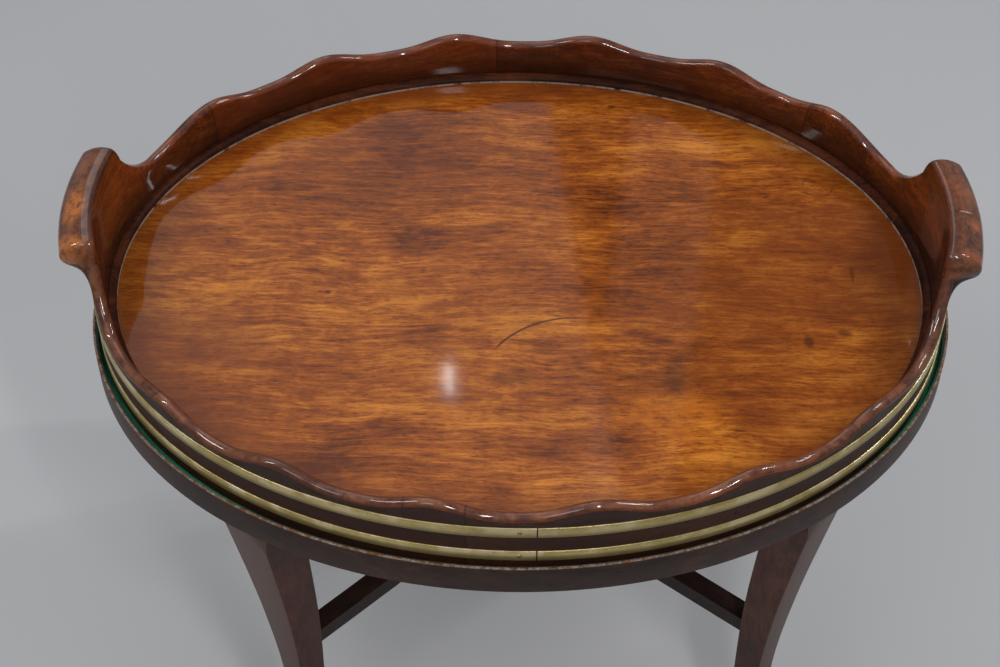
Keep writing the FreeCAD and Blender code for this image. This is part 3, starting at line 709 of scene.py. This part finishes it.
def shape_pin(low):
    """A disc pulled up to a dome and down to a shank, then turned to point into the wall."""
    bpy.ops.object.select_all(action="DESELECT")
    bpy.ops.mesh.primitive_circle_add(vertices=pin_sides, radius=pin_head, fill_type="NGON")
    pin = bpy.context.object
    bpy.ops.object.mode_set(mode="EDIT")
    bpy.ops.mesh.select_all(action="SELECT")
    for rise, narrow in dome_steps:
        bpy.ops.mesh.extrude_region_move(TRANSFORM_OT_translate={"value": (0, 0, pin_tall * rise)})
        bpy.ops.transform.resize(value=(narrow, narrow, 1))
    bpy.ops.object.mode_set(mode="OBJECT")
    base_ring = [spot.index for spot in pin.data.vertices if abs(spot.co.z) < 1e-7]
    deselect_mesh()
    for index in base_ring:
        pin.data.vertices[index].select = True
    for edge in pin.data.edges:
        edge.select = all(pin.data.vertices[end].select for end in edge.vertices)
    bpy.ops.object.mode_set(mode="EDIT")
    bpy.ops.mesh.select_mode(type="EDGE")
    for drop, narrow in shank_steps:
        bpy.ops.mesh.extrude_edges_move(TRANSFORM_OT_translate={"value": (0, 0, -drop)})
        bpy.ops.transform.resize(value=(narrow, narrow, 1))
    bpy.ops.mesh.merge(type="CENTER")
    bpy.ops.mesh.select_all(action="SELECT")
    bpy.ops.mesh.normals_make_consistent(inside=False)
    bpy.ops.object.mode_set(mode="OBJECT")
    turn = math.radians(pin_turn)
    out = Vector((math.cos(turn) / tray_long, math.sin(turn) / tray_short, 0)).normalized()
    face = Vector(((tray_long + wall + band) * math.cos(turn),
                   (tray_short + wall + band) * math.sin(turn), low + band_tall / 2))
    pin.data.transform(Matrix.Translation(face) @ out.to_track_quat("Z", "Y").to_matrix().to_4x4())
    return pin


lower_pin = shape_pin(band_lows["lower_band"])
upper_pin = shape_pin(band_lows["upper_band"])
bpy.ops.object.select_all(action="DESELECT")
lower_pin.select_set(True)
upper_pin.select_set(True)
bpy.context.view_layer.objects.active = lower_pin
bpy.ops.object.join()
lower_pin.name = "domed_band_pins"
seat(lower_pin)
bpy.ops.object.shade_smooth_by_angle(angle=math.radians(50))
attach(lower_pin, "tray")
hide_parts("band_pins")
lower_pin.data.materials.append(pin_finish)


# Ring
# Four curved mahogany rails, tongued together into an oval, with a ledge that carries
# the tray and a thin lip round it. The lip's top edge is painted pale as its highlight, with speckled wear
# and rust.

lip_face, ring_face, ring_back = 0.0136, 0.0158, -0.0262
ring_low, ledge_top, ring_top = 0.436, 0.4525, 0.463
lip_soft = 0.0008
quarter = [math.pi / 2 * k / 4 for k in range(5)]


def rounded(out, height, start):
    """A small quarter round about a place, from this heading on."""
    return [(out + lip_soft * math.cos(start + a), height + lip_soft * math.sin(start + a))
            for a in quarter]


ring_section = [(ring_back, ring_low)]
ring_section += rounded(ring_face - lip_soft, ring_low + lip_soft, -math.pi / 2)
ring_section += rounded(ring_face - lip_soft, ring_top - lip_soft, 0)
ring_section += rounded(lip_face + lip_soft, ring_top - lip_soft, math.pi / 2)
ring_section += [(lip_face, ledge_top), (ring_back, ledge_top)]

ring_finish, shader, place = new_finish(
    "ring_polish", coat_weight=0.08, coat_roughness=0.3, specular_ior_level=0.18)
base, depth, pores = mahogany(place, colour(30, 18, 13), colour(52, 33, 24), colour(74, 48, 35), 0.5)
# The lip's top edge is painted pale as a painted highlight, broken by speckled wear and rust.
highlit_worn_edge = place.along("Z").fade(ring_top - 0.0009, ring_top - 0.0003)
speckle = place.noise(520.0, 4, 0.75).fade(0.42, 0.6)
rust = place.noise(160.0, 3, 0.6).fade(0.45, 0.6)
base = (highlit_worn_edge * (speckle * 0.6 + 0.3)).mix(base, rust.mix(colour(150, 132, 120), colour(128, 78, 44)))
scratches = place.placed(stretch=(60.0, 60.0, 500.0)).noise(1.0, 2, 0.5, 1.2).fade(0.72, 0.78)
base = (scratches * 0.3).mix(base, colour(110, 96, 88))
feed(shader, base_color=base, roughness=depth * 0.3 + highlit_worn_edge * 0.1 + 0.3,
     normal=relief(speckle * 0.5 + place.noise(80.0, 3) - pores * 0.4, 0.25, 0.0006))
for name, start in (
        ("rail_back_right", 0), ("rail_back_left", 90),
        ("rail_front_left", 180), ("rail_front_right", 270)):
    rail = pull_round(name + "_sawn", ring_section)
    keep_run(rail, start, start + 90)
    bpy.ops.object.shade_smooth_by_angle(angle=math.radians(40))
    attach(rail, "stand")
    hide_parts(name)
    rail.data.materials.append(ring_finish)


# Rail keys
# Loose beech tongues, glued across the four joints inside the ledge, where they don't show.

key_finish, shader, place = new_finish("raw_beech", roughness=0.7)
rays = place.placed(stretch=(200.0, 200.0, 900.0)).noise(1.0, 3).fade(0.4, 0.65)
base = rays.mix(colour(176, 140, 100), colour(150, 112, 76))
feed(shader, base_color=base, normal=relief(rays, 0.2, 0.0003))
paint_node("rail_keys", key_finish)


# Legs
# Four swept mahogany legs, sawn to a curved side and a tapering front, their arrises
# eased, and tenoned up into the ring.

leg_tall, leg_wide, leg_deep, leg_sweep = 0.436, 0.058, 0.0345, 0.0295
leg_setback, leg_trim, leg_steps, arris = 0.0069, 0.001, 28, 0.0012
leg_turns = {"leg_back_right": 42.5, "leg_back_left": 141.9,
             "leg_front_left": 222.5, "leg_front_right": 321.9}
# Each row: how far down, then the shares of the full sweep, width and depth there.
leg_rows = (
    (0.0, 0.0, 1.0, 1.0), (0.17, 0.38, 0.82, 0.885), (0.35, 0.73, 0.64, 0.76), (0.55, 0.97, 0.45, 0.63),
    (0.75, 0.95, 0.39, 0.59), (0.9, 0.8, 0.38, 0.59), (1.0, 0.63, 0.4, 0.62))


def along_rows(down, column):
    """The smooth curve through one column of the leg's rows, this far down the leg."""
    spots = [(row[0], row[column]) for row in leg_rows]
    slopes = [(b[1] - a[1]) / (b[0] - a[0]) for a, b in zip(spots, spots[1:])]
    at_rows = slopes[:1] + [(a + b) / 2 for a, b in zip(slopes, slopes[1:])] + slopes[-1:]
    for k, (a, b) in enumerate(zip(spots, spots[1:])):
        if down <= b[0]:
            run = b[0] - a[0]
            t = (down - a[0]) / run
            return (a[1] * (1 + 2 * t) * (1 - t) ** 2 + at_rows[k] * run * t * (1 - t) ** 2
                    + b[1] * t * t * (3 - 2 * t) + at_rows[k + 1] * run * t * t * (t - 1))


def shape_leg(name, turn):
    """A plank end pulled down to the foot, its arrises eased, and cut to the ring's line."""
    turn = math.radians(turn)
    long, short = tray_long + ring_face, tray_short + ring_face
    reach = long * short / math.hypot(short * math.cos(turn), long * math.sin(turn)) - leg_setback
    bpy.ops.object.select_all(action="DESELECT")
    bpy.ops.mesh.primitive_plane_add(size=1)
    leg = bpy.context.object
    leg.name = name + "_sawn"
    bpy.ops.object.mode_set(mode="EDIT")
    bpy.ops.mesh.select_all(action="SELECT")
    for step in range(leg_steps):
        bpy.ops.mesh.extrude_region_move(TRANSFORM_OT_translate={"value": (0, 0, -1)})
    bpy.ops.object.mode_set(mode="OBJECT")
    for spot in leg.data.vertices:
        down = min(1.0, max(0.0, -spot.co.z / leg_steps))
        depth = leg_deep * along_rows(down, 3)
        outer = reach - leg_sweep * along_rows(down, 1)
        across = leg_wide * along_rows(down, 2) * spot.co.y
        spot.co = (outer - depth / 2 + depth * spot.co.x, across, leg_tall * (1 - down))
    bevel = leg.modifiers.new("eased_arrises", "BEVEL")
    bevel.width, bevel.segments, bevel.angle_limit = arris, 3, math.radians(40)
    bpy.ops.object.modifier_apply(modifier="eased_arrises")
    leg.data.transform(Matrix.Rotation(turn, 4, "Z"))
    bpy.ops.mesh.primitive_cylinder_add(vertices=round_steps, radius=1, depth=1, location=(0, 0, 0))
    limit = bpy.context.object
    limit.data.transform(Matrix.Diagonal((long - leg_trim, short - leg_trim, 1, 1)))
    bpy.ops.object.select_all(action="DESELECT")
    leg.select_set(True)
    bpy.context.view_layer.objects.active = leg
    trim = leg.modifiers.new("trim_to_ring", "BOOLEAN")
    trim.operation, trim.object, trim.solver = "INTERSECT", limit, "EXACT"
    bpy.ops.object.modifier_apply(modifier="trim_to_ring")
    bpy.data.objects.remove(limit, do_unlink=True)
    return leg


def leg_finish(name, turn):
    """Waxed mahogany with upright grain, greyer on the faces that look outwards, partly faded and partly a
    painted sheen.
    """
    material, shader, place = new_finish(
        name + "_polish", coat_weight=0.06, coat_roughness=0.3, specular_ior_level=0.18)
    around = place.placed(turn=-math.radians(turn))
    upright = around.node("ShaderNodeMapping", {"Vector": around, "Rotation": (0, math.pi / 2, 0)})
    base, depth, pores = mahogany(upright, colour(42, 20, 12), colour(66, 34, 22), colour(92, 52, 36), 0.6)
    facing = place.node("ShaderNodeNewGeometry", output=1)
    outward = facing.placed(turn=-math.radians(turn)).along("X")
    # The faces that look outwards are painted greyer, partly as fading and partly as a painted sheen.
    base = (outward.fade(0.3, 0.9) * 0.4).mix(base, colour(96, 70, 58))
    paler_share = place.noise(30.0, 4, 0.6).fade(0.5, 0.7)
    base = (paler_share * 0.25).mix(base, colour(100, 66, 48))
    feed(shader, base_color=base, roughness=depth * 0.3 + 0.28,
         normal=relief(place.noise(60.0, 3) - pores * 0.4, 0.25, 0.0008))
    return material


for name, turn in leg_turns.items():
    leg = shape_leg(name, turn)
    bpy.ops.object.shade_smooth_by_angle(angle=math.radians(30))
    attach(leg, "stand")
    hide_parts(name)
    leg.data.materials.append(leg_finish(name, turn))


# Stretcher
# Two thin mahogany bars, halved across each other and tenoned into the legs. Their tops
# are nearly black, and their sides are painted greyer as a painted sheen.

for name, turn in (
        ("stretcher_upper", leg_turns["leg_back_right"]),
        ("stretcher_lower", leg_turns["leg_back_left"])):
    bar_finish, shader, place = new_finish(
        name + "_polish", coat_weight=0.06, coat_roughness=0.3, specular_ior_level=0.2)
    grain = place.placed(turn=-math.radians(turn))
    base, depth, pores = mahogany(grain, colour(20, 12, 10), colour(34, 20, 15), colour(52, 31, 22), 0.5)
    # The sides are painted greyer than the tops, as a painted sheen.
    side = place.node("ShaderNodeNewGeometry", output=1).along("Z").fade(0.6, 0.2)
    base = (side * 0.5).mix(base, colour(44, 38, 34))
    feed(shader, base_color=base, roughness=depth * 0.3 + 0.35,
         normal=relief(place.noise(90.0, 3) - pores * 0.4, 0.25, 0.0006))
    paint_node(name, bar_finish)


# Baize
# Green woollen baize, glued on the ledge and up the inside of the lip, so that the tray
# sits on cloth. Its nap is rubbed where the tray slides in. The part up the lip is painted dark as the
# shade in the gap round the tray, lighter in two patches at the front where light reaches in.

cloth = 0.0012
upright_back, upright_face = 0.01348, 0.01258
cloth_top = ring_top - 0.001
lining = pull_round("baize_cloth", [
    (upright_back, ledge_top), (upright_back, cloth_top), (upright_face, cloth_top),
    (upright_face, ledge_top + cloth), (ring_back, ledge_top + cloth), (ring_back, ledge_top)])
bpy.ops.object.shade_smooth_by_angle(angle=math.radians(40))
baize_finish, shader, place = new_finish(
    "green_baize_cloth", roughness=0.95, specular_ior_level=0.15, sheen_weight=0.4)
nap = place.noise(1500.0, 3, 0.7)
wear = place.noise(40.0, 4, 0.6)
base = nap.fade(0.3, 0.7).mix(colour(0, 68, 46), colour(8, 110, 80))
base = (wear.fade(0.55, 0.75) * 0.4).mix(base, colour(34, 84, 64))
# Painted shade: the cloth up the lip is painted nearly black, except in two lit patches at the front.
lit_patch_right = place.spot((0.285, -0.125, 0.46), (0.07, 0.07, 0.1))
lit_patches = lit_patch_right.either(place.spot((-0.235, -0.175, 0.46), (0.07, 0.06, 0.1)))
shown = place.along("Z").fade(ledge_top + 0.002, ledge_top + 0.0035)
base = (shown * (0.85 - lit_patches * 0.8)).mix(base, colour(8, 26, 20))
feed(shader, base_color=base, normal=relief(nap, 0.6, 0.0006))
lining.data.materials.append(baize_finish)
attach(lining, "stand")
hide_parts("baize_lining")

[[list(map(float, corner)) for corner in box] for box in (cad_box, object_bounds())]
